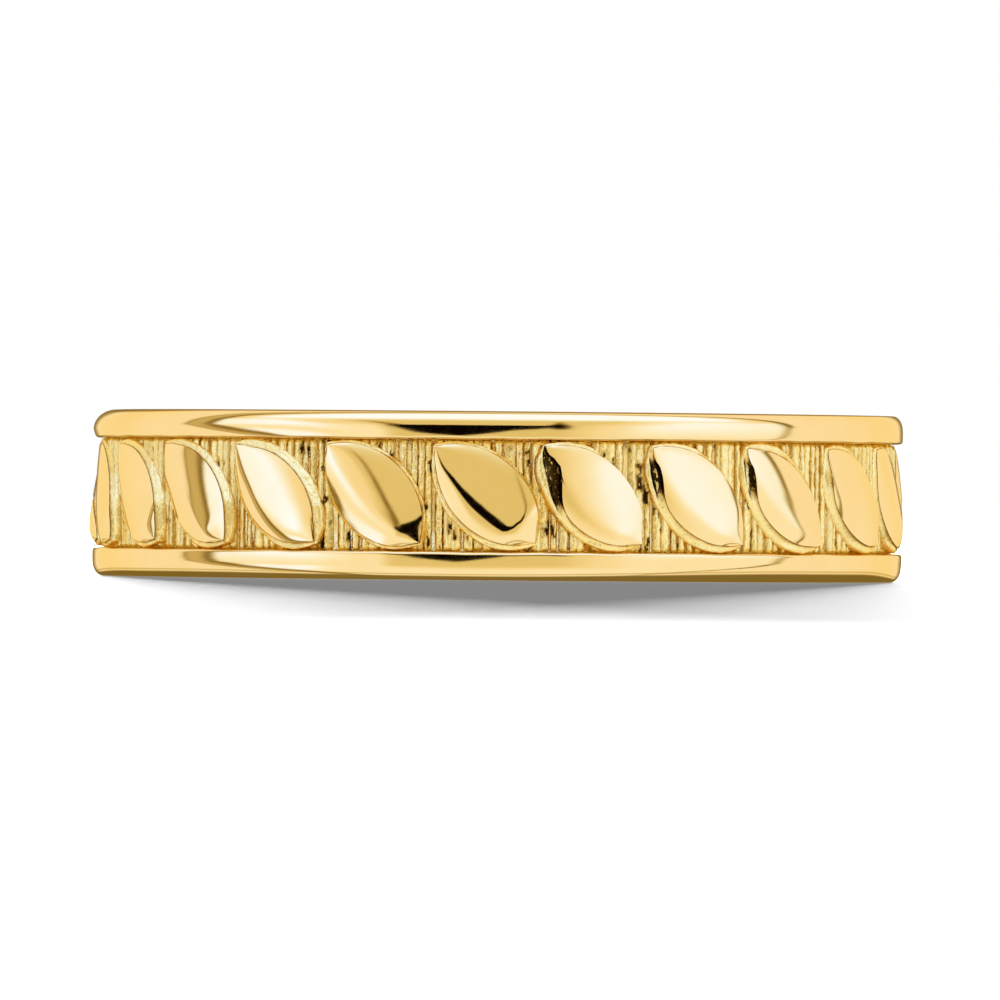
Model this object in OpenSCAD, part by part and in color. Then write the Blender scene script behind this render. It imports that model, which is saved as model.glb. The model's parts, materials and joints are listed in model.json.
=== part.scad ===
// Open toe ring, cast in one piece. Two plain rails frame a sunk field of slanting domed leaves
// that covers the front and the sides, and a plain shank closes the ring up to its open ends.
// The axis of the ring is Z, its front faces -Y, and the origin is the middle of the bore.

/* [Band] */
// Inside diameter, which sets the ring's size
inside_d = 15.2; // [13:0.1:20]
// Thickness of the wall at the rails
wall = 0.95; // [0.8:0.05:1.6]
// Width of the band over the front, along the axis
band_w = 3.5; // [3:0.1:5]
// Width of the band at the open ends
back_w = 3.25; // [2.6:0.05:3.45]
// Radius of the two outer corners of the band
corner_r = 0.3; // [0.1:0.02:0.4]
// Radius of the two edges of the bore
bore_edge_r = 0.15; // [0.05:0.01:0.25]

/* [Rails and field] */
// Width of each plain rail
rail_w = 0.6; // [0.5:0.02:0.9]
// Depth of the ground of the field below the rails
field_depth = 0.2; // [0.1:0.02:0.35]
// Ground left between the last leaf and the plain shank
field_margin = 0.25; // [0.1:0.05:0.6]

/* [Leaves] */
// Leaves on each side of the middle one
leaves_a_side = 6; // [3:1:8]
// Step from one leaf to the next, around the face of the rails
leaf_step = 2.35; // [2.1:0.05:2.5]
// Slant of a leaf from the axis of the ring
leaf_slant = 47; // [35:1:52]
// Thickness of a leaf at its middle, in the plane of the field
leaf_w = 1.7; // [1.3:0.05:1.8]
// Height of a leaf's crest above the rails
leaf_rise = 0.1; // [0.04:0.01:0.2]
// Radius of a leaf's dome along its length
dome_long_r = 5.2; // [4.4:0.1:8]
// Radius of a leaf's dome across its width
dome_cross_r = 2.4; // [1.8:0.1:4]
// How far a leaf's tips run into the rails
tip_in = 0.04; // [0.02:0.01:0.08]

/* [Opening] */
// Gap between the open ends
gap_w = 1; // [0.6:0.1:3]
// Radius of the corners of the open ends
end_corner_r = 0.5; // [0.3:0.05:0.9]

/* [Hidden] */
$fn = 96;
gold = [0.93, 0.75, 0.42];

// The radii of the bore, of the rails' faces, of the ground and of the leaves' crests
bore_r = inside_d / 2;
rail_r = bore_r + wall;
ground_r = rail_r - field_depth;
crest_r = rail_r + leaf_rise;

// The field between the rails, and a leaf that spans it on the slant
field_w = band_w - 2 * rail_w;
leaf_len = (field_w + 2 * tip_in) / cos(leaf_slant);
leaf_arc_r = (leaf_len * leaf_len + leaf_w * leaf_w) / (4 * leaf_w);
leaf_pitch = leaf_step / rail_r * 180 / PI;

// The angle that the field covers on each side of the front
leaf_half = leaf_len / 2 * sin(leaf_slant);
field_half = leaves_a_side * leaf_pitch + (leaf_half + field_margin) / rail_r * 180 / PI;

// The back starts to narrow where the field ends, and is narrowest at the open ends
narrow_y = -rail_r * cos(field_half);
narrow_angle = atan((band_w - back_w) / 2 / (rail_r - narrow_y));

// How far cutting shapes stand past the faces that they cut
past = 0.3;

// What is left outside a circle in one corner of a square, for a rounded corner
module corner_cut(r) {
    difference() {
        square(r + past);
        circle(r);
    }
}

// Half of the band's outline, above the middle of its width
module upper_section() {
    difference() {
        translate([bore_r, 0]) square([wall, band_w / 2]);
        translate([rail_r - corner_r, band_w / 2 - corner_r]) corner_cut(corner_r);
        translate([bore_r + bore_edge_r, band_w / 2 - bore_edge_r])
            mirror([1, 0]) corner_cut(bore_edge_r);
    }
}

// The plain band, a full turn
module plain_band() {
    rotate_extrude() {
        upper_section();
        mirror([0, 1]) upper_section();
    }
}

// The room that the sunk field takes, from the ground outwards
module field_room() {
    rotate([0, 0, -90 - field_half])
        rotate_extrude(angle = 2 * field_half)
            translate([ground_r, -field_w / 2]) square([field_depth + past, field_w]);
}

// The outline of a leaf, two arcs that meet in a tip at each end
module leaf_outline() {
    intersection() {
        translate([leaf_arc_r - leaf_w / 2, 0]) circle(leaf_arc_r);
        translate([leaf_w / 2 - leaf_arc_r, 0]) circle(leaf_arc_r);
    }
}

// The dome that tops a leaf, the rim of a wheel: its radius runs along the leaf, and the tighter
// round of its rim runs across it
module leaf_dome() {
    rotate([0, 90, 0])
        rotate_extrude()
            intersection() {
                translate([dome_long_r - dome_cross_r, 0]) circle(dome_cross_r);
                translate([0, -dome_cross_r]) square([dome_long_r, 2 * dome_cross_r]);
            }
}

// One leaf at the front, rooted in the wall below the ground
module leaf() {
    rotate([90, 0, 0])
        rotate([0, 0, leaf_slant])
            intersection() {
                translate([0, 0, (bore_r + ground_r) / 2])
                    linear_extrude(wall + past) leaf_outline();
                translate([0, 0, crest_r - dome_long_r]) leaf_dome();
            }
}

// The row of leaves
module leaves() {
    for (i = [-leaves_a_side : leaves_a_side])
        rotate([0, 0, i * leaf_pitch]) leaf();
}

// The wedge that narrows the back on its upper side
module upper_narrowing() {
    translate([0, narrow_y, band_w / 2])
        rotate([-narrow_angle, 0, 0])
            translate([-rail_r - past, -past, 0])
                cube([2 * (rail_r + past), 2 * (rail_r + past), band_w]);
}

// The corner of one open end, seen from the back
module end_corner() {
    translate([gap_w / 2 + end_corner_r, back_w / 2 - end_corner_r])
        mirror([1, 0]) corner_cut(end_corner_r);
}

// The gap between the open ends, with the corners of both ends
module opening() {
    translate([0, rail_r + past, 0])
        rotate([90, 0, 0])
            linear_extrude(rail_r)
                for (side = [0, 1], edge = [0, 1]) {
                    mirror([side, 0]) mirror([0, edge]) {
                        square([gap_w / 2, band_w]);
                        end_corner();
                    }
                }
}

module band() {
    color(gold)
        difference() {
            union() {
                difference() {
                    plain_band();
                    field_room();
                }
                leaves();
            }
            upper_narrowing();
            mirror([0, 0, 1]) upper_narrowing();
            opening();
        }
}

band();
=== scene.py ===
"""Dresses the open toe ring: the cast band, its lined ground and its domed leaves in polished gold."""

import json
import math

import bmesh
import bpy
from bpy.props import FloatProperty, FloatVectorProperty, IntProperty, PointerProperty
from mathutils import Matrix, Vector, noise

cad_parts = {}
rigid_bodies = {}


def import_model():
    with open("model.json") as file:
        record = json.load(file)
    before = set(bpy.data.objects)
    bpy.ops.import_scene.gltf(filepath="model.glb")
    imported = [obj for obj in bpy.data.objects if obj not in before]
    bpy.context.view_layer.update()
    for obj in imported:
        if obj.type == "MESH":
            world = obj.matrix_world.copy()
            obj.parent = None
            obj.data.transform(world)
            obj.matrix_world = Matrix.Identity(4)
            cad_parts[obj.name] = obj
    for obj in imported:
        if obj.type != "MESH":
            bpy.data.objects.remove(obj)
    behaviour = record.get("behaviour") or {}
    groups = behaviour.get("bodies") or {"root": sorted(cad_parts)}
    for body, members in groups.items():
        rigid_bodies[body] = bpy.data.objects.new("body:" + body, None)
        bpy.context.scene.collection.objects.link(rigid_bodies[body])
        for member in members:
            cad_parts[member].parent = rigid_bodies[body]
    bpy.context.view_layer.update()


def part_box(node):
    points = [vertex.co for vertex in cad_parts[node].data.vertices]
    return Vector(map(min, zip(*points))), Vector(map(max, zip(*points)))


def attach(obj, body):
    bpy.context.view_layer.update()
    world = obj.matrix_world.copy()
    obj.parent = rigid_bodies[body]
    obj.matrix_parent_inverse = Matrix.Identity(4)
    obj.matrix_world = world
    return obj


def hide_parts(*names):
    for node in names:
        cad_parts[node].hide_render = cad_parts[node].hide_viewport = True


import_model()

bl_info = {
    "name": "Leaf toe ring",
    "version": (1, 0, 0),
    "blender": (4, 5, 0),
    "location": "3D View > Sidebar > Toe ring",
    "description": "Builds the dressed toe ring and its plain studio",
    "category": "Object",
}

LOW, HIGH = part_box("band")
MM = 0.001

# The leaves' crests reach furthest out, and the band's sides are its full width apart
CREST_R = -LOW.y
HALF_WIDTH = HIGH.z


# Sizes and colours that a user would change
def number(name, description, default, **kind):
    return FloatProperty(name=name, description=description, default=default, **kind)


def length(name, description, default_mm):
    return number(name, description, default_mm * MM, unit="LENGTH", precision=5)


def angle(name, description, default_deg):
    return number(name, description, math.radians(default_deg), unit="ROTATION")


def colour(name, description, default):
    return FloatVectorProperty(
        name=name, description=description, default=default, subtype="COLOR", min=0, max=1
    )


class BandSizes(bpy.types.PropertyGroup):
    """Sizes of the plain band"""

    bore_r: length("Bore radius", "Radius of the hole for the toe", 7.6)
    wall: length("Wall", "Thickness of the band at the rails", 0.95)
    back_w: length("Back width", "Width of the band at its open ends", 3.25)
    gap: length("Gap", "Gap between the open ends", 1.0)
    end_r: length("End corner radius", "Radius of the corners of the open ends", 0.5)
    corner_h: length("Corner height", "How far the outer corners reach along the axis", 0.31)
    corner_d: length("Corner depth", "How far the outer corners reach towards the axis", 0.2)
    bore_edge_r: length("Bore edge radius", "Radius of the edges of the bore", 0.15)
    crown_r: length("Rail crown radius", "Radius of the slight crown of each rail", 2.4)
    crown_up: length("Upper crown height", "Height at which the upper rail's face is upright", 1.35)
    crown_down: length("Lower crown height", "Height at which the lower rail's face is upright", 1.34)
    crown_lean: length("Lower crown lean", "How much higher the lower rail's crown is on the right", 0.16)
    worn_up: length("Worn height", "How far the upper rail's crown moves up on the left", 0.10)
    worn_r: length("Worn radius", "Radius of the upper rail on the left, towards the field", 0.60)
    worn_corner: length("Worn corner", "How much deeper the upper corner is on the left", 0.28)


class FieldSizes(bpy.types.PropertyGroup):
    """Sizes of the sunk field and its cast lines"""

    half_w: length("Half width", "Half the width of the field between the rails", 1.165)
    depth: length("Depth", "Depth below the rails of the floor between the cast lines", 0.27)
    half_angle: angle("Half angle", "Angle that the field covers on each side of the front", 104.6)
    lip_r: length("Lip radius", "Radius of the rolled lip where a rail meets the field", 0.06)
    rib_step: length("Rib step", "Step from one cast line to the next", 0.205)
    rib_len: length("Rib half length", "Half the length of a cast line", 1.13)
    rib_rise: length("Rib rise", "Height of a cast line above the floor between the lines", 0.055)
    rib_wave: length("Rib wave", "Height of the waves along the top of a cast line", 0.09)
    rib_grain: length("Rib grain", "Size of the grains on the cast lines", 0.065)
    seed: IntProperty(name="Seed", description="Seed of the cast lines", default=7)


class LeafSizes(bpy.types.PropertyGroup):
    """Sizes of one leaf"""

    step: angle("Step", "Angle from one leaf to the next", 15.75)
    a_side: IntProperty(name="Leaves a side", description="Leaves on each side of the middle", default=6)
    half_len: length("Half length", "Half the length of a leaf's polished top", 1.49)
    half_w: length("Half thickness", "Half the thickness of a leaf's polished top", 0.80)
    shift: length("Shift", "Shift of the polished top to the upper right", 0.055)
    slide: length("Slide", "Shift of the polished top to the lower right", 0.07)
    slant: angle("Slant", "Slant of a leaf from the axis of the ring", 47)
    nod: angle("Nod", "How far the top of a leaf faces up", 5.7)
    sway: angle("Sway", "How far the top of a leaf faces to the right", -1.1)
    fall_low: number("Lower left slope", "Slope at the lower left edge", 0.39)
    drop_far: length("Upper right drop", "Fall of the rounding at the upper right edge", 0.074)
    fall_tip: number("Lower tip slope", "Slope at the lower right tip", 0.42)
    blunt: number("Blunt", "How much the lower right tip is blunted", 0.06)
    wall_low: length("Lower left wall", "Breadth of the rough wall at the lower left", 0.10)
    wall_far: length("Upper right wall", "Breadth of the rough wall at the upper right", 0.07)
    ragged: length("Ragged", "How uneven the edges and walls of the leaves are", 0.04)


class Finish(bpy.types.PropertyGroup):
    """Colours of the gold, with the painted shade of its grooves and pits"""

    gold: colour("Gold", "Polished yellow gold", (0.985, 0.715, 0.325))
    cast: colour("Cast gold", "Gold as cast, on the lines and the leaves' walls", (1.0, 0.765, 0.30))
    # The groove and pit colours are painted shade: darker gold and near black that stand in for the shade
    # deep in the grooves and pits
    groove_shade: colour("Groove", "Gold deep in the grooves", (0.70, 0.44, 0.11))
    shaded_pit: colour("Pit", "Darkest gold, in the pits beside the leaves", (0.03, 0.013, 0.002))


class ToeRing(bpy.types.PropertyGroup):
    """All that the toe ring is made from"""

    band: PointerProperty(type=BandSizes)
    field: PointerProperty(type=FieldSizes)
    leaf: PointerProperty(type=LeafSizes)
    finish: PointerProperty(type=Finish)


# Node helpers
def node(tree, kind, inputs=None, **settings):
    made = tree.nodes.new(kind)
    for key, value in settings.items():
        setattr(made, key, value)
    for socket, value in (inputs or {}).items():
        target = made.inputs[socket]
        if isinstance(value, bpy.types.NodeSocket):
            tree.links.new(value, target)
        else:
            target.default_value = value
    return made


def output(tree, kind, inputs=None, **settings):
    """First output of a new node."""
    return node(tree, kind, inputs, **settings).outputs[0]


def math_node(tree, operation, a, b=0.0, c=0.0):
    return output(tree, "ShaderNodeMath", {0: a, 1: b, 2: c}, operation=operation)


def times(tree, a, b):
    return math_node(tree, "MULTIPLY", a, b)


def clamped(tree, value, low):
    """The value, kept between low and 1."""
    return math_node(tree, "MINIMUM", math_node(tree, "MAXIMUM", value, low), 1.0)


def combine(tree, x, y, z):
    return output(tree, "ShaderNodeCombineXYZ", {"X": x, "Y": y, "Z": z})


def vector_node(tree, operation, inputs, result="Vector"):
    return node(tree, "ShaderNodeVectorMath", inputs, operation=operation).outputs[result]


def noise_node(tree, at, scale, detail, rough):
    """Noise at a place, as its outputs: one number, and a colour that holds three."""
    inputs = {"Vector": at, "Scale": scale, "Detail": detail, "Roughness": rough}
    return node(tree, "ShaderNodeTexNoise", inputs).outputs


# Materials
POLISHED, CAST = 0, 1

# How far up a place of the cast gold lies, as its mesh holds it, sets its painted shade: 0 in a pit,
# painted darkest, 1 on top of a line, unshaded; the levels below are painted shade levels
GROOVE_SHADE = 0.4
BROWN_SHADE = 0.4 * GROOVE_SHADE
FLOOR_SHADE = 0.8

# How strongly polished gold is tinted where light grazes it
GRAZING = 0.47


def new_material(name, build):
    made = bpy.data.materials.get(name)
    if made is None:
        made = bpy.data.materials.new(name)
        made.use_nodes = True
        made.node_tree.nodes.clear()
        node(made.node_tree, "ShaderNodeOutputMaterial", {"Surface": build(made.node_tree)})
    return made


def stretched_noise(tree, scale, detail, stretch, rough=0.55):
    """Noise on the object's own coordinates, stretched by the given factors; scale counts per metre."""
    where = node(tree, "ShaderNodeTexCoord").outputs["Object"]
    stretched = output(tree, "ShaderNodeMapping", {"Vector": where, "Scale": stretch})
    return noise_node(tree, stretched, scale, detail, rough)[0]


def to_range(tree, value, low, high, start=0.35, end=0.65):
    """Low where the value is at start, high where it is at end, and held beyond."""
    inputs = {"Value": value, "From Min": start, "From Max": end, "To Min": low, "To Max": high}
    return output(tree, "ShaderNodeMapRange", inputs)


def colour_ramp(tree, share, stops):
    """Colour at a share, from stops given as pairs of share and colour."""
    ramp = node(tree, "ShaderNodeValToRGB", {"Fac": share})
    marks = ramp.color_ramp.elements
    while len(marks) < len(stops):
        marks.new(0.5)
    for mark, (at, shade) in zip(marks, stops):
        mark.position = at
        mark.color = (*shade, 1)
    return ramp.outputs["Color"]


def edge_tint(gold):
    """Tint that keeps polished metal of this colour golden at grazing angles."""
    return tuple(c / (c + (1 - c) * GRAZING) for c in gold)


def metal(tree, base, edge, rough, bumps):
    """Metal with its base colour, its tint at grazing angles, and bumps as pairs of height and distance."""
    bent = {}
    for height, distance in bumps:
        inputs = {"Height": height, "Distance": distance, **bent}
        bent = {"Normal": output(tree, "ShaderNodeBump", inputs)}
    inputs = {"Base Color": base, "Specular Tint": edge, "Roughness": rough, "Metallic": 1.0}
    return output(tree, "ShaderNodeBsdfPrincipled", {**inputs, **bent})


def polished_gold(tree):
    """Mirror polish, with the faint waves and hairlines that a buffing wheel leaves."""
    gold = tuple(bpy.context.scene.toe_ring.finish.gold)
    deeper = tuple(c * k for c, k in zip(gold, (0.985, 0.97, 0.92)))
    patches = to_range(tree, stretched_noise(tree, 900, 3, (1, 1, 1)), 0.0, 1.0)
    shade = colour_ramp(tree, patches, ((0.0, gold), (1.0, deeper)))
    haze = to_range(tree, stretched_noise(tree, 2500, 4, (1, 1, 3)), 0.04, 0.08)
    waves = stretched_noise(tree, 700, 2, (1, 1, 1.6))
    hairs = stretched_noise(tree, 9000, 3, (1, 1, 14), 0.7)
    return metal(tree, shade, (*edge_tint(gold), 1), haze, ((waves, 0.003 * MM), (hairs, 0.0001 * MM)))


def cast_gold(tree):
    """As cast between the leaves, grainy all over, with painted shade: bright on the lines, brown in the
    grooves.
    """
    finish = bpy.context.scene.toe_ring.finish
    # The painted shade level that the mesh holds, 0 darkest
    rise = node(tree, "ShaderNodeAttribute", attribute_name="rise").outputs["Fac"]
    grain = stretched_noise(tree, 24000, 4, (1, 1, 0.7), 0.65)
    lumps = stretched_noise(tree, 6500, 3, (1, 1, 0.5), 0.6)
    # Painted glints: specks where the painted shade is lifted halfway towards the bright cast gold
    painted_glints = to_range(tree, stretched_noise(tree, 17000, 2, (1, 1, 0.7), 0.6), 0.0, 0.5, 0.61, 0.68)
    rise = math_node(tree, "MULTIPLY_ADD", painted_glints, math_node(tree, "SUBTRACT", 1.0, rise), rise)
    # Painted shade: from near black in the pits through a deeper brown and the groove colour to the cast
    # gold
    shade_brown = [0.35 * c * k for c, k in zip(finish.groove_shade, (1.0, 0.85, 0.6))]
    tones = ((0.0, finish.shaded_pit), (BROWN_SHADE, shade_brown), (GROOVE_SHADE, finish.groove_shade), (1.0, finish.cast))
    base = colour_ramp(tree, rise, [(at, tuple(tone)) for at, tone in tones])
    edge = colour_ramp(tree, rise, [(at, edge_tint(tone)) for at, tone in tones])
    rough = to_range(tree, lumps, 0.06, 0.18)
    return metal(tree, base, edge, rough, ((lumps, 0.036 * MM), (grain, 0.012 * MM)))


def gold_finishes():
    return new_material("polished_gold", polished_gold), new_material("cast_gold", cast_gold)


# Shared helpers for pieces
def around(turn, radius, z):
    """The point at a turn from the front towards +X, at a distance from the axis, and at a height."""
    return Vector((radius * math.sin(turn), -radius * math.cos(turn), z))


def ease(start, end, value):
    """Grows smoothly from 0 at start to 1 at end, and is held beyond."""
    t = min(1.0, max(0.0, (value - start) / (end - start)))
    return t * t * (3 - 2 * t)


def bell(value, middle, spread):
    return math.exp(-(((value - middle) / spread) ** 2))


def mixed(a, b, share):
    return tuple(p + (q - p) * share for p, q in zip(a, b))


def mesh_from(bm, name):
    bmesh.ops.recalc_face_normals(bm, faces=bm.faces)
    data = bpy.data.meshes.new(name)
    bm.to_mesh(data)
    bm.free()
    return data


def new_object(name, data):
    made = bpy.data.objects.new(name, data)
    bpy.context.scene.collection.objects.link(made)
    return made


def join_loops(bm, loops):
    """Smooth faces from each closed loop of points to the next, as one list for each pair."""
    rows = []
    for before, after in zip(loops, loops[1:]):
        corners = zip(before, before[1:] + before[:1], after[1:] + after[:1], after)
        rows.append([bm.faces.new(four) for four in corners])
        for face in rows[-1]:
            face.smooth = True
    return rows


def hand_over(name, data):
    """Makes a piece from its mesh. Every piece is part of the one casting."""
    piece = new_object(name, data)
    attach(piece, "root")
    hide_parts("band")


def arc(centre, reach, start, end, steps):
    """Points on an arc in the section's plane, radius first and height second, without its last point."""
    turns = [math.radians(start + (end - start) * k / steps) for k in range(steps)]
    return [(centre[0] + reach[0] * math.cos(a), centre[1] + reach[1] * math.sin(a)) for a in turns]


# The cast band
BAND_TURN_STEP = math.radians(0.75)

# Sections at each rounded end, and on each side of the field's end walls the turn between two sections
END_SECTIONS = 14
END_WALL_TURN = 0.004

# Radius of the edges of the open ends, and how far and how often the lips of the field wander
END_EDGE_R = 0.12 * MM
LIP_WAVE, LIP_WAVES = 0.014 * MM, 14

# Wear of the lower rail's corner on the left and on the right, as shares of the worn corner's depth
LOW_WORN_LEFT, LOW_WORN_RIGHT = 0.35, 0.8


def half_section(band, field, half_w, sunk, taken, wave, crown_z, worn, worn_corner):
    """Upper half of the band's section, from the middle of the bore round to the middle of the outside.

    half_w is half the width here, sunk is 1 across the field and 0 across the plain shank, taken is how
    much the end's rounding takes off all round, wave moves the lip of the field a little, and worn and
    worn_corner say how worn the rail's face and its corner are.
    Returns points as (radius, height) and the finish of the face that follows each point.
    """
    inner = band.bore_r + taken
    outer = band.bore_r + band.wall - taken
    top = half_w - taken
    shrink = half_w / HALF_WIDTH
    edge = band.bore_edge_r
    points, finish = [], []

    def add(new, kind=POLISHED):
        points.extend(new)
        finish.extend([kind] * len(new))

    crown_z = (crown_z + band.worn_up * worn) * shrink
    inward_r = 1 / (1 / band.crown_r + (1 / band.worn_r - 1 / band.crown_r) * worn)

    def face(z):
        return outer - (z - crown_z) ** 2 / (2 * (band.crown_r if z > crown_z else inward_r))

    # The outer corner rolls from the flat side into the slightly crowned face of the rail
    corner_h = band.corner_h + 0.4 * band.worn_corner * worn_corner - 0.5 * taken
    corner_d = band.corner_d + band.worn_corner * worn_corner - 0.5 * taken
    face_top = top - corner_h * 0.93
    corner_r = face(face_top) - corner_d
    add([(inner, 0.0), (inner, 0.5 * top)])
    add(arc((inner + edge, top - edge), (edge, edge), 180, 90, 6))
    add([(inner + edge, top), ((inner + edge + corner_r) / 2, top)])
    add(arc((corner_r, top - corner_h), (corner_d, corner_h), 90, 4, 16))
    lip_r = field.lip_r
    lip_z = field.half_w * shrink + wave
    tilt = math.atan((crown_z - lip_z - 0.8 * lip_r) / inward_r)
    lip_top = lip_z + lip_r * (1 - math.sin(tilt))
    steps = 12
    heights = [face_top + (lip_top - face_top) * k / steps for k in range(steps)]
    add([(face(z), z) for z in heights])

    # The lip rolls over and drops to the floor, which is level across the field
    rail = face(lip_top)
    lip = arc((rail - lip_r * math.cos(tilt), lip_z + lip_r), (lip_r, lip_r), -math.degrees(tilt), -85, 7)
    plain = [(rail, lip_top - k * (lip_top - lip_z) / 7) for k in range(7)]
    add([mixed(a, b, sunk) for a, b in zip(plain, lip)])
    floor = outer - field.depth
    halfway = (outer - 0.5 * field.depth, lip_z - 0.004 * MM)
    drop = [halfway, (floor, lip_z - 0.012 * MM), (floor, 0.5 * lip_z)]
    level = [(rail, z) for _, z in drop]
    kind = CAST if sunk > 0.5 else POLISHED
    add([mixed(a, b, sunk) for a, b in zip(level, drop)], kind)
    add([mixed((rail, 0.0), (floor, 0.0), sunk)], kind)
    return points, finish


def whole_section(up, down):
    """Joins two halves, the second turned over, into a closed loop of points and finishes."""
    points = up[0] + [(r, -z) for r, z in down[0][-2:0:-1]]
    return points, up[1][:-1] + down[1][-2::-1]


def over(turn, start_deg, end_deg):
    """Grows smoothly from 0 to 1 as a turn goes from one number of degrees to another."""
    return ease(math.radians(start_deg), math.radians(end_deg), turn)


def band_turns(band, field, end_turn):
    """Turns of the sections, closer together at the rounded ends and the field's end walls."""
    end_span = band.end_r / band.bore_r
    even = end_turn - end_span
    count = math.ceil(even / BAND_TURN_STEP)
    turns = [even * k / count for k in range(count)]
    turns += [field.half_angle - END_WALL_TURN, field.half_angle + END_WALL_TURN]
    quarter = math.pi / 2 / END_SECTIONS
    turns += [end_turn - end_span * (1 - math.sin(quarter * k)) for k in range(END_SECTIONS + 1)]
    turns.sort()
    return [-t for t in turns[:0:-1]] + turns


def make_band():
    ring = bpy.context.scene.toe_ring
    band, field = ring.band, ring.field
    rail_r = band.bore_r + band.wall
    end_turn = math.pi - math.asin(band.gap / 2 / band.bore_r)
    narrow_from = -rail_r * math.cos(field.half_angle)
    bm = bmesh.new()
    rings, finishes = [], []
    for turn in band_turns(band, field, end_turn):
        y = -rail_r * math.cos(turn)
        narrowed = max(0.0, (y - narrow_from) / (rail_r - narrow_from))
        half_w = HALF_WIDTH + (band.back_w / 2 - HALF_WIDTH) * narrowed
        left = (end_turn - abs(turn)) * (band.bore_r + band.wall / 2)
        if left < band.end_r:
            half_w -= band.end_r - math.sqrt(band.end_r**2 - (band.end_r - left) ** 2)
        taken = 0.0
        if left < END_EDGE_R:
            taken = END_EDGE_R - math.sqrt(END_EDGE_R**2 - (END_EDGE_R - left) ** 2)
        sunk = 1.0 if abs(turn) < field.half_angle else 0.0

        # The wear comes and goes along the rails
        fades = over(turn, -125, -95)
        worn = over(turn, -10, -36) * fades
        worn_corner = over(turn, -35, -80) * fades
        low_worn = LOW_WORN_LEFT * over(turn, 0, -50) + LOW_WORN_RIGHT * over(turn, 0, 50)
        low_worn *= over(abs(turn), 86, 66)
        leant = 0.5 * (over(turn, -40, 0) + over(turn, 0, 40)) * over(turn, 125, 95)
        crown_down = band.crown_down - band.crown_lean * leant
        halves = []
        for row, *shape in ((0.3, band.crown_up, worn, worn_corner), (7.7, crown_down, 0.0, low_worn)):
            wave = LIP_WAVE * noise.noise(Vector((turn * LIP_WAVES, row, 0)))
            halves.append(half_section(band, field, half_w, sunk, taken, wave, *shape))
        points, finish = whole_section(*halves)
        rings.append([bm.verts.new(around(turn, r, z)) for r, z in points])
        finishes.append(finish)
    for row, finish in zip(join_loops(bm, rings), finishes):
        for face, kind in zip(row, finish):
            face.material_index = kind
    bm.faces.new(rings[0])
    bm.faces.new(rings[-1][::-1])
    data = mesh_from(bm, "cast_band")
    # Painted shade: the band's cast faces, the field's floor and the drops from its lips, are a little
    # darker than the tops of the lines
    rise = data.attributes.new("rise", "FLOAT", "POINT")
    rise.data.foreach_set("value", [FLOOR_SHADE] * len(data.vertices))
    for material in gold_finishes():
        data.materials.append(material)
    hand_over("cast_band", data)


class TOERING_OT_band(bpy.types.Operator):
    """Sweep the band's section round the ring, with its rails, its sunk field and its open ends"""

    bl_idname = "toering.band"
    bl_label = "Cast band"

    def execute(self, context):
        make_band()
        return {"FINISHED"}


# The cast lines on the ground of the field
RIB_ALONG = 40
RIB_ROOT = 0.05 * MM
# Across a line, as shares of the step, and above the floor, as shares of the rise
RIB_PROFILE = (
    (-0.56, 0.0), (-0.46, 0.45), (-0.28, 0.88), (0.0, 1.0), (0.28, 0.88), (0.46, 0.45), (0.56, 0.0)
)
# What lies less than this above the floor is a line's root, and isn't pushed about
RIB_STILL = 0.005 * MM
# What each line draws for itself: the lowest and the highest value, and a salt for its seed
SLIP, LIFT = (-0.25, 0.25, 1), (-0.01 * MM, 0.01 * MM, 3)
SWAY, FACING = (-0.008, 0.008, 4), (-0.60, 0.60, 5)
WIDTH, HEIGHT = (0.60, 1.25, 6), (0.70, 1.25, 7)
# How fine the noise of the painted dark pits, of the waves along a line and of its grains is, per metre
PAINTED_PITS, WAVES, GRAINS = (7000.0, 7000.0, 2600.0), (6500.0, 6500.0, 3200.0), 11000.0
# Painted pits, spots of near black painted shade, are common near the middle of the front and rare far
# to the side: the two distances, and the noise above which a place there is painted as a pit, and how
# sharply one sets in
PAINTED_PITS_NEAR, PAINTED_PITS_FAR = 3 * MM, 7 * MM
PAINTED_PIT_COMMON, PAINTED_PIT_RARE, PAINTED_PIT_EDGE = 0.60, 0.70, 24.0


def rib_pattern(field):
    """One upright line of the ground, a long bar with a rounded top, closed all round."""
    bm = bmesh.new()
    rows = []
    for i in range(RIB_ALONG + 1):
        z = field.rib_len * (2 * i / RIB_ALONG - 1)
        end = 1.0 if 0 < i < RIB_ALONG else 0.5
        row = [bm.verts.new((x * field.rib_step, -y * field.rib_rise * end, z)) for x, y in RIB_PROFILE]
        foot = (RIB_PROFILE[-1][0], RIB_PROFILE[0][0])
        row += [bm.verts.new((x * field.rib_step, RIB_ROOT, z)) for x in foot]
        rows.append(row)
    join_loops(bm, rows)
    bm.faces.new(rows[0][::-1])
    bm.faces.new(rows[-1])
    return mesh_from(bm, "rib_pattern")


def new_tree(name, **kinds):
    """A tree that gives a geometry, its inputs of each kind, and the inputs' identifiers by name."""
    tree = bpy.data.node_groups.new(name, "GeometryNodeTree")
    tree.interface.new_socket("Geometry", in_out="OUTPUT", socket_type="NodeSocketGeometry")
    keys = {}
    for key, kind in kinds.items():
        kind = "NodeSocket" + kind
        socket = tree.interface.new_socket(key.capitalize(), in_out="INPUT", socket_type=kind)
        keys[key] = socket.identifier
    return tree, tree.nodes.new("NodeGroupInput").outputs, keys


def give_out(tree, geometry):
    node(tree, "NodeGroupOutput", {0: geometry})


def set_material(tree, geometry, material, **selection):
    inputs = {"Geometry": geometry, "Material": material, **selection}
    return output(tree, "GeometryNodeSetMaterial", inputs)


def pushed(tree, geometry, way, amount):
    push = vector_node(tree, "SCALE", {0: way, "Scale": amount})
    return output(tree, "GeometryNodeSetPosition", {"Geometry": geometry, "Offset": push})


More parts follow.
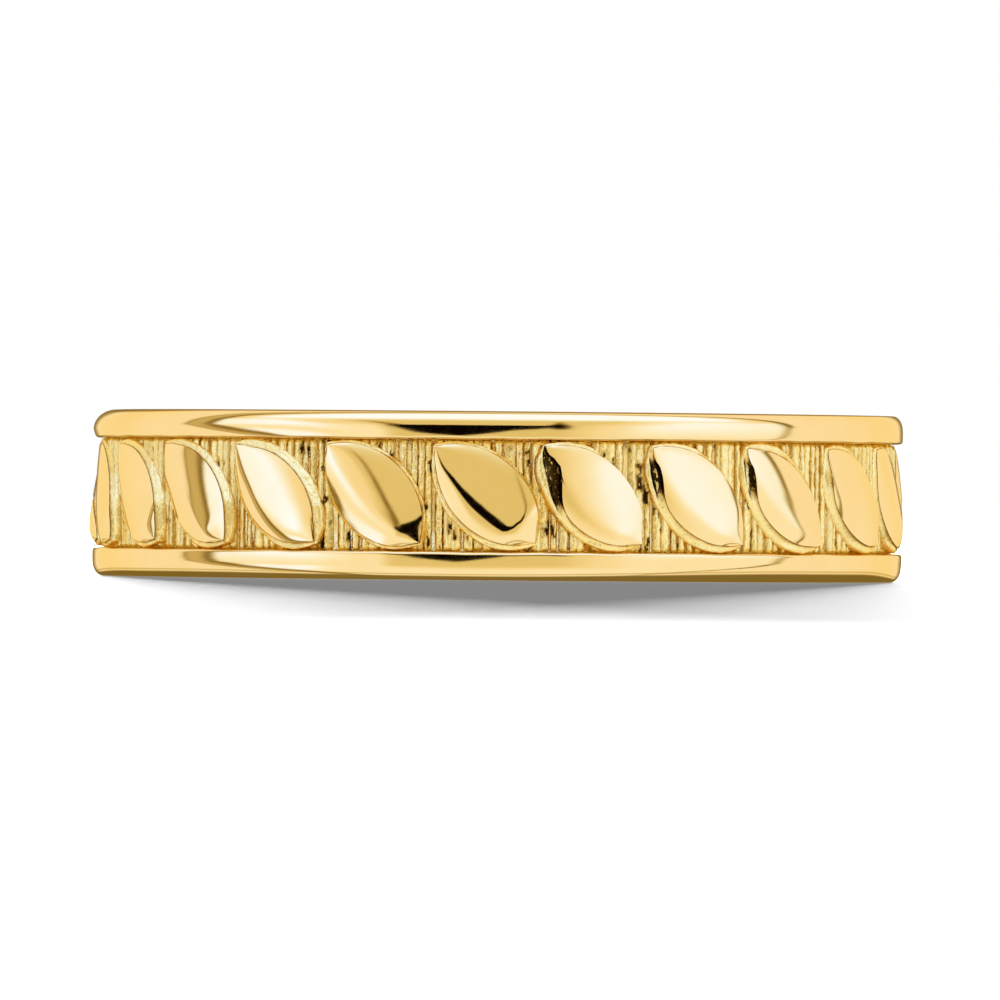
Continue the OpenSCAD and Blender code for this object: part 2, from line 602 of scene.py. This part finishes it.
def shaken(tree, geometry, scale, detail, rough, amount):
    """The geometry with its points moved about by noise, by up to half the amount each way."""
    at = output(tree, "GeometryNodeInputPosition")
    drawn = noise_node(tree, at, scale, detail, rough)[1]
    centred = vector_node(tree, "SUBTRACT", {0: drawn, 1: (0.5, 0.5, 0.5)})
    return pushed(tree, geometry, centred, amount)


def rib_tree():
    """Sets lines round the ground, each with its own width, height and turn, and waves their tops."""
    numbers = dict.fromkeys(("start", "step", "floor", "rise", "wave", "grain"), "Float")
    kinds = {**numbers, "rib": "Object", "count": "Int", "seed": "Int", "material": "Material"}
    tree, given, keys = new_tree("cast_lines", **kinds)
    index = output(tree, "GeometryNodeInputIndex")

    def draw(low, high, salt):
        """A number for each line, from the node's sockets for single numbers."""
        seed = math_node(tree, "ADD", given["Seed"], salt)
        inputs = {2: low, 3: high, "Seed": seed, "ID": index}
        return node(tree, "FunctionNodeRandomValue", inputs, data_type="FLOAT").outputs[1]

    slip = times(tree, draw(*SLIP), given["Step"])
    even = math_node(tree, "MULTIPLY_ADD", index, given["Step"], given["Start"])
    turn = math_node(tree, "ADD", even, slip)
    x = times(tree, given["Floor"], math_node(tree, "SINE", turn))
    away = times(tree, given["Floor"], math_node(tree, "COSINE", turn))
    places = combine(tree, x, times(tree, away, -1.0), draw(*LIFT))
    points = output(tree, "GeometryNodePoints", {"Count": given["Count"], "Position": places})
    spin = combine(tree, 0.0, draw(*SWAY), math_node(tree, "ADD", turn, draw(*FACING)))
    turned = output(tree, "FunctionNodeEulerToRotation", {"Euler": spin})
    rib = node(tree, "GeometryNodeObjectInfo", {"Object": given["Rib"]}).outputs["Geometry"]
    size = combine(tree, draw(*WIDTH), draw(*HEIGHT), 1.0)
    inputs = {"Points": points, "Instance": rib, "Rotation": turned, "Scale": size}
    set_out = output(tree, "GeometryNodeInstanceOnPoints", inputs)
    real = output(tree, "GeometryNodeRealizeInstances", {"Geometry": set_out})

    # Painted shade: darker gold the lower a place lies between the lines, with painted dark pits here and
    # there
    at = output(tree, "GeometryNodeInputPosition")
    flat = vector_node(tree, "MULTIPLY", {0: at, 1: (1.0, 1.0, 0.0)})
    out_r = vector_node(tree, "LENGTH", {0: flat}, "Value")
    above = math_node(tree, "SUBTRACT", out_r, given["Floor"])
    level = clamped(tree, math_node(tree, "DIVIDE", above, given["Rise"]), GROOVE_SHADE)
    spots = noise_node(tree, vector_node(tree, "MULTIPLY", {0: at, 1: PAINTED_PITS}), 1.0, 1.0, 0.5)[0]
    aside = math_node(tree, "ABSOLUTE", node(tree, "ShaderNodeSeparateXYZ", {"Vector": at}).outputs["X"])
    least = to_range(tree, aside, PAINTED_PIT_COMMON, PAINTED_PIT_RARE, PAINTED_PITS_NEAR, PAINTED_PITS_FAR)
    painted_pit_shade = clamped(tree, times(tree, math_node(tree, "SUBTRACT", spots, least), PAINTED_PIT_EDGE), 0.0)
    rise = times(tree, level, math_node(tree, "SUBTRACT", 1.0, painted_pit_shade))
    inputs = {"Geometry": real, "Name": "rise", "Value": rise}
    held = output(tree, "GeometryNodeStoreNamedAttribute", inputs, data_type="FLOAT", domain="POINT")

    # Long waves along each line push it out from the ring's axis or in, and grains cover it
    outward = vector_node(tree, "NORMALIZE", {0: flat})
    waves = noise_node(tree, vector_node(tree, "MULTIPLY", {0: at, 1: WAVES}), 1.0, 3.0, 0.7)[0]
    push = times(tree, math_node(tree, "SUBTRACT", waves, 0.5), given["Wave"])
    free = math_node(tree, "GREATER_THAN", above, RIB_STILL)
    waved = pushed(tree, held, outward, times(tree, push, free))
    grained = shaken(tree, waved, GRAINS, 2.0, 0.7, times(tree, given["Grain"], free))
    give_out(tree, set_material(tree, grained, given["Material"]))
    return tree, keys


def grown(name, tree, keys, start_mesh, **values):
    """Runs a tree on a mesh and returns the result as a plain mesh."""
    holder = new_object(name + "_seed", start_mesh)
    modifier = holder.modifiers.new("grow", "NODES")
    modifier.node_group = tree
    for key, value in values.items():
        modifier[keys[key]] = value
    graph = bpy.context.evaluated_depsgraph_get()
    data = bpy.data.meshes.new_from_object(holder.evaluated_get(graph))
    bpy.data.objects.remove(holder)
    data.name = name
    return data


def make_ground():
    ring = bpy.context.scene.toe_ring
    band, field = ring.band, ring.field
    rail_r = band.bore_r + band.wall
    step = field.rib_step / rail_r
    count = int(2 * field.half_angle / step)
    pattern = new_object("rib_pattern", rib_pattern(field))
    data = grown(
        "field_lines",
        *rib_tree(),
        bpy.data.meshes.new("field_seed"),
        rib=pattern,
        count=count,
        start=-step * (count - 1) / 2,
        step=step,
        floor=rail_r - field.depth,
        rise=field.rib_rise,
        wave=field.rib_wave,
        grain=field.rib_grain,
        seed=field.seed,
        material=gold_finishes()[CAST],
    )
    bpy.data.objects.remove(pattern)
    hand_over("field_lines", data)


class TOERING_OT_ground(bpy.types.Operator):
    """Fill the ground of the field with upright cast lines"""

    bl_idname = "toering.ground"
    bl_label = "Lined ground"

    def execute(self, context):
        make_ground()
        return {"FINISHED"}


# The leaves
LEAF_ALONG = 60
LEAF_ACROSS = 34
# Each leaf from the far left: its slip round the ring, lean to the right, bow and turn to the right in
# degrees, the share of the fall at its lower right tip, then how far the lower left edge, the upper right
# edge and the upper left end of its polished top are cut back in mm
LEAF_WAYS = (
    (0.0, 0.0, 0.0, 0.0, 1.0, 0.00, 0.00, 0.00),
    (1.0, 0.5, 0.4, 0.0, 0.6, 0.00, 0.05, 0.00),
    (0.8, 0.0, 0.0, 0.0, 0.5, 0.03, 0.08, 0.00),
    (0.3, 0.5, 0.3, 0.0, 0.4, 0.05, 0.08, 0.00),
    (-0.2, 0.5, 0.0, 0.0, 0.3, 0.06, 0.13, 0.04),
    (-0.5, 1.0, 0.4, 0.0, 0.4, 0.00, 0.00, 0.00),
    (-0.1, 0.0, 0.0, 0.0, 1.2, 0.05, 0.00, 0.00),
    (-0.4, 0.5, 0.0, 8.2, 0.3, 0.06, 0.02, 0.36),
    (-0.4, 0.5, 0.0, 2.0, 0.3, 0.08, 0.03, 0.16),
    (-0.6, 1.0, 0.4, 1.0, 0.3, 0.09, 0.12, 0.14),
    (0.8, 0.0, 0.0, 0.0, 0.6, 0.08, 0.05, 0.06),
    (0.8, 0.5, 0.3, 0.0, 1.0, 0.03, 0.00, 0.00),
    (0.0, 0.0, 0.0, 0.0, 1.0, 0.00, 0.00, 0.00),
)
# How far a leaf's highest point stays below the solids' crest
CREST_ROOM = 0.016 * MM
# How far the rim of a polished top is roughened, as a share of what the walls are
RIM_FREEDOM = 0.2
# Where along a leaf the pit beside its upper left end lies, as a share of the half length
PIT_MIDDLE = -0.66
# Breadth of the wall at the two tips, and size of the grit on the walls
TIP_WALL = 0.06 * MM
WALL_GRIT = 0.014 * MM
# The leaf's wall from its polished edge to its root: shares of its breadth, then of its depth and its
# painted shade, how bright it is painted along a plain edge, and the same two beside a pit, painted darker
WALL_STEPS = (
    (0.05, 0.12, 0.45, 0.55, 0.00),
    (0.15, 0.22, 0.80, 0.80, 0.00),
    (0.36, 0.34, 1.00, 0.85, 0.02),
    (0.60, 0.45, 1.00, 0.62, 0.10),
    (0.72, 0.50, 1.00, 0.28, 0.90),
    (0.90, 0.68, 0.90, 0.50, 1.00),
    (1.00, 0.95, 0.45, 0.95, 0.45),
    (1.02, 1.50, 0.40, 1.50, 0.40),
)
# A step at this share of the wall's depth or deeper belongs to the root
ROOT_SHARE = 0.9


def ease_sum(start, end, value):
    """What a slope that grows smoothly from 0 at start to 1 at end adds up to by value."""
    t = min(1.0, max(0.0, (value - start) / (end - start)))
    return (end - start) * (t**3 - t**4 / 2) + max(0.0, value - end)


def leaf_arc_r(leaf):
    """Radius of the two arcs that make a leaf's outline."""
    return (leaf.half_len**2 + leaf.half_w**2) / (2 * leaf.half_w)


def leaf_edge(leaf, u):
    """Half the thickness of a leaf's uncut top at a share u of its half length."""
    arc_r = leaf_arc_r(leaf)
    return max(0.0, math.sqrt(arc_r**2 - (u * leaf.half_len) ** 2) - (arc_r - leaf.half_w))


def along_leaf(leaf, u):
    """How far along a leaf a share u of its half length lies, with the lower right tip blunted."""
    return u * leaf.half_len * (1 - leaf.blunt * ease(0.5, 1.0, u))


def leaf_frame(leaf, p, q):
    """From along and across the leaf to along the ring's face and up the ring's axis."""
    p, q = p + leaf.slide, q + leaf.shift
    sine, cosine = math.sin(leaf.slant), math.cos(leaf.slant)
    return p * sine + q * cosine, q * sine - p * cosine


def leaf_drop(leaf, tip_share, u, v):
    """How far the polished top lies below the leaf's middle, at shares u along and v across it.

    The upper left end is nearly straight and the lower right end rounds off. The lower left edge rolls
    over late and the upper right edge evenly, and the whole top faces up a little.
    """
    edge = leaf_edge(leaf, u)
    tip = 0.02 * MM * u * u
    if u > 0:
        tip = tip_share * leaf.fall_tip * leaf.half_len * ease_sum(0.50, 0.80, u)
    fall_low = leaf.fall_low * (0.45 + 0.55 * ease(-1.0, -0.35, u))
    across = fall_low * leaf.half_w * ease_sum(0.08, 0.97, -v) if v < 0 else leaf.drop_far * v**2
    x, z = leaf_frame(leaf, u * leaf.half_len, v * edge)
    return tip + across * (edge / leaf.half_w) ** 0.8 + math.tan(leaf.nod) * z + math.tan(leaf.sway) * x


def leaf_pattern(name, leaf, rail_r, floor_r, tip_share, cuts):
    """One leaf at the front: its polished top, its rough side walls and a root below the ground."""
    bm = bmesh.new()
    side = bm.faces.layers.float.new("side")
    painted_shade = bm.verts.layers.float.new("rise")
    loose = bm.verts.layers.float.new("loose")
    along = [-math.cos(math.pi * i / LEAF_ALONG) for i in range(LEAF_ALONG + 1)]
    even = [j / LEAF_ACROSS for j in range(LEAF_ACROSS + 1)]
    across = [j - 0.5 - 0.5 * math.cos(math.pi * j) for j in even]
    middle_r = CREST_R - CREST_ROOM + min(leaf_drop(leaf, tip_share, u, v) for u in along for v in across)

    def placed(p, q, radius, freedom):
        x, z = leaf_frame(leaf, p, q)
        vert = bm.verts.new(around(x / rail_r, radius, z))
        vert[loose] = freedom
        return vert

    def pitted(u, s):
        return cuts[2] * bell(u, PIT_MIDDLE, 0.20 + 0.35 * cuts[2] / MM) if s < 0 else 0.0

    def cut(u, s):
        tapered = min(1.0, leaf_edge(leaf, u) / (0.5 * leaf.half_w))
        return min(((cuts[0] if s < 0 else cuts[1]) + pitted(u, s)) * tapered, 0.85 * leaf_edge(leaf, u))

    rows = []
    for i, u in enumerate(along):
        edge = leaf_edge(leaf, u)
        if i in (0, LEAF_ALONG):
            tip = placed(along_leaf(leaf, u), 0, middle_r - leaf_drop(leaf, tip_share, u, 0), 1.0)
            rows.append([tip] * (LEAF_ACROSS + 1))
            continue
        row = []
        for v in across:
            q = v * (edge - cut(u, v))
            top = middle_r - leaf_drop(leaf, tip_share, u, q / edge)
            freedom = RIM_FREEDOM * ease(0.90, 1.0, abs(v))
            row.append(placed(along_leaf(leaf, u), q, top, freedom))
        rows.append(row)
    for low, high in zip(rows, rows[1:]):
        for j in range(LEAF_ACROSS):
            corners = dict.fromkeys((low[j], low[j + 1], high[j + 1], high[j]))
            bm.faces.new(list(corners)).smooth = True

    # The walls follow the outline, and a top that is cut back at the upper left leaves a deeper pit there,
    # painted dark with painted shade
    outline = [(i, -1) for i in range(LEAF_ALONG)] + [(i, 1) for i in range(LEAF_ALONG, 0, -1)]
    before = [rows[i][0 if s < 0 else LEAF_ACROSS] for i, s in outline]
    for step, (out_share, down_share, tone, pit_down, pit_tone) in enumerate(WALL_STEPS):
        after = []
        for i, s in outline:
            u = along[i]
            edge = leaf_edge(leaf, u)
            at_tip = i in (0, LEAF_ALONG)
            taken = 0.0 if at_tip else cut(u, s)
            p, q = along_leaf(leaf, u), s * (edge - taken)
            lean = math.copysign(math.pi / 2, u)
            if not at_tip:
                lean = math.atan2(p, edge + leaf_arc_r(leaf) - leaf.half_w)
            reach = (leaf.wall_low if s < 0 else leaf.wall_far) * (1 - u**4) + TIP_WALL * u**4
            reach = (taken + reach) * out_share
            shaded_pit = ease(0.03, 0.12, pitted(u, s) / MM)
            top = middle_r - leaf_drop(leaf, tip_share, u, 0 if at_tip else q / edge)
            if down_share < ROOT_SHARE:
                reach += WALL_GRIT * noise.noise(Vector((p, q, 0.3 * down_share * MM)) * 8000)
            p += reach * math.sin(lean)
            q += s * reach * math.cos(lean)
            down = down_share + (pit_down - down_share) * shaded_pit

            # The walls stay high where they run into a rail
            z = leaf_frame(leaf, p, q)[1]
            if down_share < ROOT_SHARE:
                down *= 1 - 0.6 * ease(0.86 * MM, 1.08 * MM, abs(z))
            freedom = RIM_FREEDOM + (1 - RIM_FREEDOM) * min(1.0, out_share / 0.6)
            vert = placed(p, q, top + (floor_r - top) * down, freedom)
            # Painted shade on the wall: darker at the crease by the polished edge, at the root and in the
            # pit
            vert[painted_shade] = tone + (pit_tone - tone) * shaded_pit
            after.append(vert)
        for k in range(len(outline)):
            n = (k + 1) % len(outline)
            face = bm.faces.new((before[n], before[k], after[k], after[n]))
            face.smooth = True
            face[side] = 1.0
            if step == 0:
                bm.edges.get((before[n], before[k])).smooth = False
        before = after
    root = bm.faces.new(before)
    root[side] = 1.0
    return mesh_from(bm, name)


def leaf_way(i):
    """The own ways of leaf i, counted from the middle one."""
    return LEAF_WAYS[(i + len(LEAF_WAYS) // 2) % len(LEAF_WAYS)]


def leaf_seats(leaf):
    """One loose point for each leaf, which carries its turn round the ring and how it leans."""
    seats = bpy.data.meshes.new("leaf_seats")
    places = range(-leaf.a_side, leaf.a_side + 1)
    seats.from_pydata([(0, 0, 0)] * len(places), [], [])
    for column, name in enumerate(("turn", "lean", "bow", "facing")):
        values = seats.attributes.new(name, "FLOAT", "POINT")
        for k, i in enumerate(places):
            own = math.radians(leaf_way(i)[column])
            values.data[k].value = own + (i * leaf.step if name == "turn" else 0.0)
    return seats


def leaf_tree():
    """Sets each leaf on its seat, leans it about its own middle, turns it to its place and roughens it."""
    kinds = {"geometry": "Geometry", "leaves": "Collection", "radius": "Float", "ragged": "Float"}
    tree, given, keys = new_tree("leaf_row", **kinds, polished="Material", cast="Material")

    def own(name):
        return output(tree, "GeometryNodeInputNamedAttribute", {"Name": name}, data_type="FLOAT")

    def rotated(instances, euler, pivot):
        turned = output(tree, "FunctionNodeEulerToRotation", {"Euler": euler})
        inputs = {"Instances": instances, "Rotation": turned, "Pivot Point": pivot, "Local Space": False}
        return output(tree, "GeometryNodeRotateInstances", inputs)

    inputs = {"Collection": given["Leaves"], "Separate Children": True}
    leaves = output(tree, "GeometryNodeCollectionInfo", inputs)
    index = output(tree, "GeometryNodeInputIndex")
    inputs = {"Points": given["Geometry"], "Instance": leaves, "Pick Instance": True}
    set_out = output(tree, "GeometryNodeInstanceOnPoints", {**inputs, "Instance Index": index})
    middle = combine(tree, 0.0, times(tree, given["Radius"], -1.0), 0.0)
    leant = rotated(set_out, combine(tree, own("bow"), own("lean"), own("facing")), middle)
    turned = rotated(leant, combine(tree, 0.0, 0.0, own("turn")), (0.0, 0.0, 0.0))
    real = output(tree, "GeometryNodeRealizeInstances", {"Geometry": turned})

    # The edges and walls were never trued, so each leaf's are a little different
    amount = times(tree, own("loose"), given["Ragged"])
    worn = shaken(tree, real, 3400.0, 3.0, 0.65, amount)
    tops = set_material(tree, worn, given["Polished"])
    on_wall = math_node(tree, "GREATER_THAN", own("side"), 0.5)
    give_out(tree, set_material(tree, tops, given["Cast"], Selection=on_wall))
    return tree, keys


def make_leaves():
    ring = bpy.context.scene.toe_ring
    band, field, leaf = ring.band, ring.field, ring.leaf
    rail_r = band.bore_r + band.wall
    patterns = bpy.data.collections.new("leaf_patterns")
    bpy.context.scene.collection.children.link(patterns)
    for k, i in enumerate(range(-leaf.a_side, leaf.a_side + 1)):
        name = "leaf_%02d" % k
        tip_share, *cuts = leaf_way(i)[4:]
        cuts = [cut * MM for cut in cuts]
        mesh = leaf_pattern(name, leaf, rail_r, rail_r - field.depth, tip_share, cuts)
        patterns.objects.link(bpy.data.objects.new(name, mesh))
    polished, cast = gold_finishes()
    data = grown(
        "leaves",
        *leaf_tree(),
        leaf_seats(leaf),
        leaves=patterns,
        radius=rail_r,
        ragged=leaf.ragged,
        polished=polished,
        cast=cast,
    )
    for pattern in list(patterns.objects):
        bpy.data.objects.remove(pattern)
    bpy.data.collections.remove(patterns)
    hand_over("leaves", data)


class TOERING_OT_leaves(bpy.types.Operator):
    """Set the row of domed leaves on the ground"""

    bl_idname = "toering.leaves"
    bl_label = "Leaves"

    def execute(self, context):
        make_leaves()
        return {"FINISHED"}


# The studio
CAMERA_AWAY = 0.40
CAMERA_TURN = math.radians(2.0)
CAMERA_ROLL = math.radians(0.52)
FRAME_PX = 1000
RAILS_PX = 809.5
RING_MIDDLE_PX = (497.5, 495.8)
REFLECTION_BALL_R = 0.30
REFLECTION_BALL_SECTORS = 240
# Tilts of the mirrors whose views the painted reflection ball is built from, in degrees, close together up
# to its edges
REFLECTION_BALL_TILTS = [0.5 * k for k in range(1, 100)] + [*range(50, 89), 89.0, 89.5, 89.9]
FLOOR_REACH = 8.0
FLOOR_GREY = 0.8

# The low lights in a row behind the ring, with the turn of the row's middle and the step along it
BACK_LIGHTS, BACK_TURN, BACK_STEP = 10, 2.6, 1.05
# Energy, breadth and tip of each of them, and of the light above, in degrees
BACK_LIGHT = (55.0, 1.6, -89.1)
TOP_LIGHT = (0.95, 90.0, 0.0)

# Painted reflections: what the gold shows of the glowing ball, as the light painted on it that gives each
# tone on the gold
PLAIN = (1.0, 1.0, 1.0)
WHITE = (1.03, 1.385, 2.72)
PEACH = (1.01, 1.07, 1.15)
GOLD = (0.96, 0.93, 0.79)
TAN = (0.79, 0.735, 0.46)
DUSK = (0.62, 0.54, 0.31)
OLIVE = (0.22, 0.18, 0.07)
BROWN = (0.23, 0.16, 0.045)
BLACK = (0.003, 0.0015, 0.0006)

# The bowed lower edge of the painted dark slot, and how far from the middle the painted pale table begins
SLOT_EDGE = (
    (-0.26, 0.040), (-0.20, -0.012), (-0.10, -0.046), (-0.03, -0.022), (0.03, 0.006), (0.14, 0.034)
)
SHORE = 0.712


def broken_line(x, points):
    """Height of a line through the points at x, level beyond its ends."""
    if x <= points[0][0]:
        return points[0][1]
    for (x0, y0), (x1, y1) in zip(points, points[1:]):
        if x <= x1:
            return y0 + (y1 - y0) * (x - x0) / (x1 - x0)
    return points[-1][1]


def glazed(a, b, share):
    """Light a covered by a share of light b, as a glaze covers paint, so that edges stay golden."""
    return tuple(p ** (1 - share) * q**share for p, q in zip(a, b))


def room_light(x, z):
    """Light painted on the glowing reflection ball where a mirror facing (x, z) shows it to the camera.

    x is how far the mirror faces to the right and z how far it faces up, each from -1 to 1. Painted on the
    ball are the reflections of two soft boxes to the left and right of the camera and one above, of a dark
    slot level with it, and of the pale table that closes it behind the ring, past a dark gap.
    """
    tilt = 0.28 * min(z, 0.0) + 0.12 * ease(0.0, 0.3, x) * min(max(z, 0.0), 0.10)
    rho = math.hypot(x, z) - tilt * ease(0.15, 0.45, abs(x))
    lean = 0.5 * max(z, 0.0)
    leftwards = ease(0.12, -0.12, x)
    middle = ease(0.26, 0.12, x - lean) * ease(-0.29, -0.24, x + lean)
    side = max(ease(-0.31, -0.46, x + lean), ease(0.20, 0.38, x - lean))
    side *= ease(0.30, 0.20, z)
    low_left = 0.85 * ease(-0.08, -0.18, z) * ease(-0.34, -0.46, x)
    soft = (0.45 + 0.55 * bell(abs(x), 0.47, 0.20)) * max(ease(-0.07, 0.06, z), low_left)
    soft *= 1 - 0.22 * ease(0.0, 0.2, x)
    above = ease(0.18, 0.36, z) * ease(0.69, 0.62, rho) * ease(0.66, 0.50, abs(x))

    # Painted dark frames rise from the ends of the painted dark slot, which has a straight upper edge and a
    # bowed lower one
    thick = 0.010 + 0.008 * ease(0.16, 0.06, z)
    left = bell(x + lean, -0.212, thick) * ease(0.0, 0.05, z) * ease(0.26, 0.10, z)
    thick = 0.010 + 0.008 * ease(0.14, 0.05, z)
    right = bell(x, 0.148, thick) * ease(0.01, 0.04, z) * ease(0.24, 0.12, z)
    low = broken_line(x, SLOT_EDGE)
    slot = ease(low - 0.007, low + 0.007, z) * ease(0.068, 0.056, z)

    # The painted dark edge of the gap between the painted boxes and the painted table
    edge = 0.35 + 0.6 * max(leftwards, ease(0.03, 0.15, abs(z)))
    thick = 0.012 + 0.012 * leftwards * ease(0.0, -0.12, z)
    shore = SHORE + 0.048 * leftwards
    coats = (
        (PEACH, ease(-0.10, -0.25, z)),
        (PEACH, ease(-0.20, -0.28, x) * ease(0.10, 0.0, z)),
        (TAN, middle * ease(-0.16, -0.06, z) * ease(0.34, 0.24, z)),
        (glazed(PEACH, WHITE, soft), side),
        (WHITE, above),
        (BROWN, left),
        (BROWN, right),
        (BLACK, 0.8 * right * ease(0.13, 0.07, z)),
        (BLACK, slot * ease(-0.275, -0.255, x) * ease(0.150, 0.135, x)),
        (DUSK, ease(0.705, 0.715, rho) * leftwards),
        (BROWN, edge * bell(rho, SHORE - 0.010, thick)),
        (PLAIN, ease(shore - 0.006, shore + 0.006, rho)),
        (BROWN, 0.5 * leftwards * bell(rho, shore, 0.005)),
        # Painted reflections of the ring's shade on the table, above and below, and a painted dark rim at
        # the silhouette
        (BROWN, 0.75 * ease(0.76, 0.88, z)),
        (BROWN, 0.35 * bell(z, -0.46, 0.03)),
        (OLIVE, ease(-0.52, -0.64, z)),
        (BROWN, 0.8 * ease(0.985, 0.997, math.hypot(x, z))),
    )
    light = GOLD
    for tone, share in coats:
        light = glazed(light, tone, share)
    return light


def make_reflection_ball():
    """A glowing ball round the ring, no lamp, that only the gold shows in its reflections, painted with the
    light that each way to face shows.
    """
    to_camera = around(CAMERA_TURN, 1.0, 0.0)
    right = Vector((math.cos(CAMERA_TURN), math.sin(CAMERA_TURN), 0.0))
    bm = bmesh.new()
    tone = bm.verts.layers.float_color.new("tone")
    rings = []
    for tilt in REFLECTION_BALL_TILTS:
        a = math.radians(tilt)
        ring = []
        for k in range(REFLECTION_BALL_SECTORS):
            b = 2 * math.pi * k / REFLECTION_BALL_SECTORS
            x, z = math.sin(a) * math.cos(b), math.sin(a) * math.sin(b)
            mirror = right * x + Vector((0, 0, z)) + to_camera * math.cos(a)
            vert = bm.verts.new((2 * math.cos(a) * mirror - to_camera) * REFLECTION_BALL_R)
            vert[tone] = (*room_light(x, z), 1.0)
            ring.append(vert)
        rings.append(ring)
    join_loops(bm, rings)
    front = bm.verts.new(to_camera * REFLECTION_BALL_R)
    front[tone] = (*room_light(0, 0), 1.0)
    for k in range(REFLECTION_BALL_SECTORS):
        bm.faces.new((front, rings[0][(k + 1) % REFLECTION_BALL_SECTORS], rings[0][k]))
    bm.faces.new(rings[-1])
    data = mesh_from(bm, "room")

    def glow(tree):
        light = output(tree, "ShaderNodeAttribute", attribute_name="tone")
        return output(tree, "ShaderNodeEmission", {"Color": light})

    material = new_material("room_light", glow)
    material.cycles.emission_sampling = "NONE"
    data.materials.append(material)
    room = new_object("room", data)
    room.visible_camera = room.visible_diffuse = room.visible_shadow = False


def make_floor():
    data = bpy.data.meshes.new("floor")
    corners = [(x * FLOOR_REACH, y * FLOOR_REACH, LOW.z) for x, y in ((-1, -1), (1, -1), (1, 1), (-1, 1))]
    data.from_pydata(corners, [], [(0, 1, 2, 3)])

    def paint(tree):
        return output(tree, "ShaderNodeBsdfDiffuse", {"Color": (*[FLOOR_GREY] * 3, 1)})

    data.materials.append(new_material("pale_floor", paint))
    floor = new_object("floor", data)
    floor.visible_glossy = False


def make_lights():
    """A low row of lights behind the ring lays its shadow forwards, and a broad one above fills it."""
    turns = [BACK_TURN + BACK_STEP * (k - (BACK_LIGHTS - 1) / 2) for k in range(BACK_LIGHTS)]
    row = [("back_light_%d" % k, *BACK_LIGHT, turn) for k, turn in enumerate(turns)]
    for name, energy, breadth, tip, turn in row + [("top_light", *TOP_LIGHT, 0.0)]:
        lamp = bpy.data.lights.new(name, "SUN")
        lamp.energy = energy
        lamp.angle = math.radians(breadth)
        light = new_object(name, lamp)
        light.rotation_euler = (math.radians(tip), 0.0, math.radians(turn))
        light.visible_glossy = False


def make_camera():
    band = bpy.context.scene.toe_ring.band
    rails = 2 * (band.bore_r + band.wall)
    data = bpy.data.cameras.new("camera")
    data.sensor_width = 36
    data.lens = data.sensor_width * CAMERA_AWAY / (rails * FRAME_PX / RAILS_PX)
    data.shift_x = (FRAME_PX / 2 - RING_MIDDLE_PX[0]) / FRAME_PX
    data.shift_y = (RING_MIDDLE_PX[1] - FRAME_PX / 2) / FRAME_PX
    data.clip_start, data.clip_end = 0.01, 10
    camera = new_object("camera", data)
    camera.location = around(CAMERA_TURN, CAMERA_AWAY, 0.0)
    aim = (-camera.location).to_track_quat("-Z", "Y")
    camera.rotation_mode = "QUATERNION"
    camera.rotation_quaternion = aim @ Matrix.Rotation(CAMERA_ROLL, 3, "Z").to_quaternion()
    bpy.context.scene.camera = camera
    bpy.context.scene.view_settings.view_transform = "Standard"


def make_world():
    world = bpy.data.worlds.new("white_room")
    world.use_nodes = True
    world.node_tree.nodes["Background"].inputs["Color"].default_value = (1, 1, 1, 1)
    world.cycles_visibility.diffuse = False
    bpy.context.scene.world = world


class TOERING_OT_stage(bpy.types.Operator):
    """Set up the pale floor, the soft light and the camera"""

    bl_idname = "toering.stage"
    bl_label = "Studio"

    def execute(self, context):
        make_floor()
        make_reflection_ball()
        make_lights()
        make_world()
        make_camera()
        return {"FINISHED"}


class TOERING_PT_panel(bpy.types.Panel):
    """Lists the steps that build the toe ring"""

    bl_label = "Toe ring"
    bl_idname = "TOERING_PT_panel"
    bl_space_type = "VIEW_3D"
    bl_region_type = "UI"
    bl_category = "Toe ring"

    def draw(self, context):
        for step in STEPS:
            self.layout.operator(step.bl_idname)


STEPS = (TOERING_OT_band, TOERING_OT_ground, TOERING_OT_leaves, TOERING_OT_stage)
CLASSES = (BandSizes, FieldSizes, LeafSizes, Finish, ToeRing, *STEPS, TOERING_PT_panel)


def register():
    for cls in CLASSES:
        bpy.utils.register_class(cls)
    bpy.types.Scene.toe_ring = PointerProperty(type=ToeRing)


def unregister():
    del bpy.types.Scene.toe_ring
    for cls in reversed(CLASSES):
        bpy.utils.unregister_class(cls)


def main():
    register()
    bpy.ops.toering.band()
    bpy.ops.toering.ground()
    bpy.ops.toering.leaves()
    bpy.ops.toering.stage()


if __name__ == "__main__":
    main()
